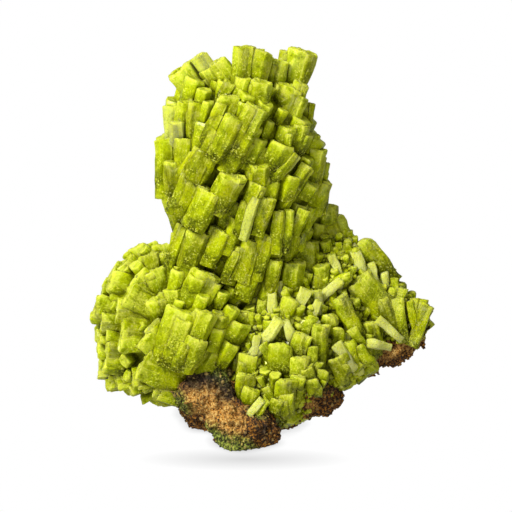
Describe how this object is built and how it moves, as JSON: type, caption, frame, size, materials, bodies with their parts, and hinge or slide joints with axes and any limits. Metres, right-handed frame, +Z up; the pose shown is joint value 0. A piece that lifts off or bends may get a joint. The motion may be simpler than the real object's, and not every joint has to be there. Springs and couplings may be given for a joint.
{
  "type": "pyromorphite specimen",
  "caption": "Mineral specimen: a tower, a spray and an apron of stubby six-sided crystals on a crust of limonite, cut flat underneath to stand.",
  "frame": {"origin": "in the flat cut face under the matrix, 20 mm behind the matrix's front foot", "axes": "+Z up along the crystal tower, +X to the right as the front view shows it, the front faces -Y"},
  "size_m": [0.068, 0.0389, 0.0796],
  "materials": {
    "limonite": "rough, earthy",
    "pyromorphite": "waxy, slightly translucent"
  },
  "bodies": {
    "root": {"matrix": "limonite", "crystal_tower": "pyromorphite", "crystal_spray": "pyromorphite", "crystal_apron": "pyromorphite"}
  },
  "joints": []
}
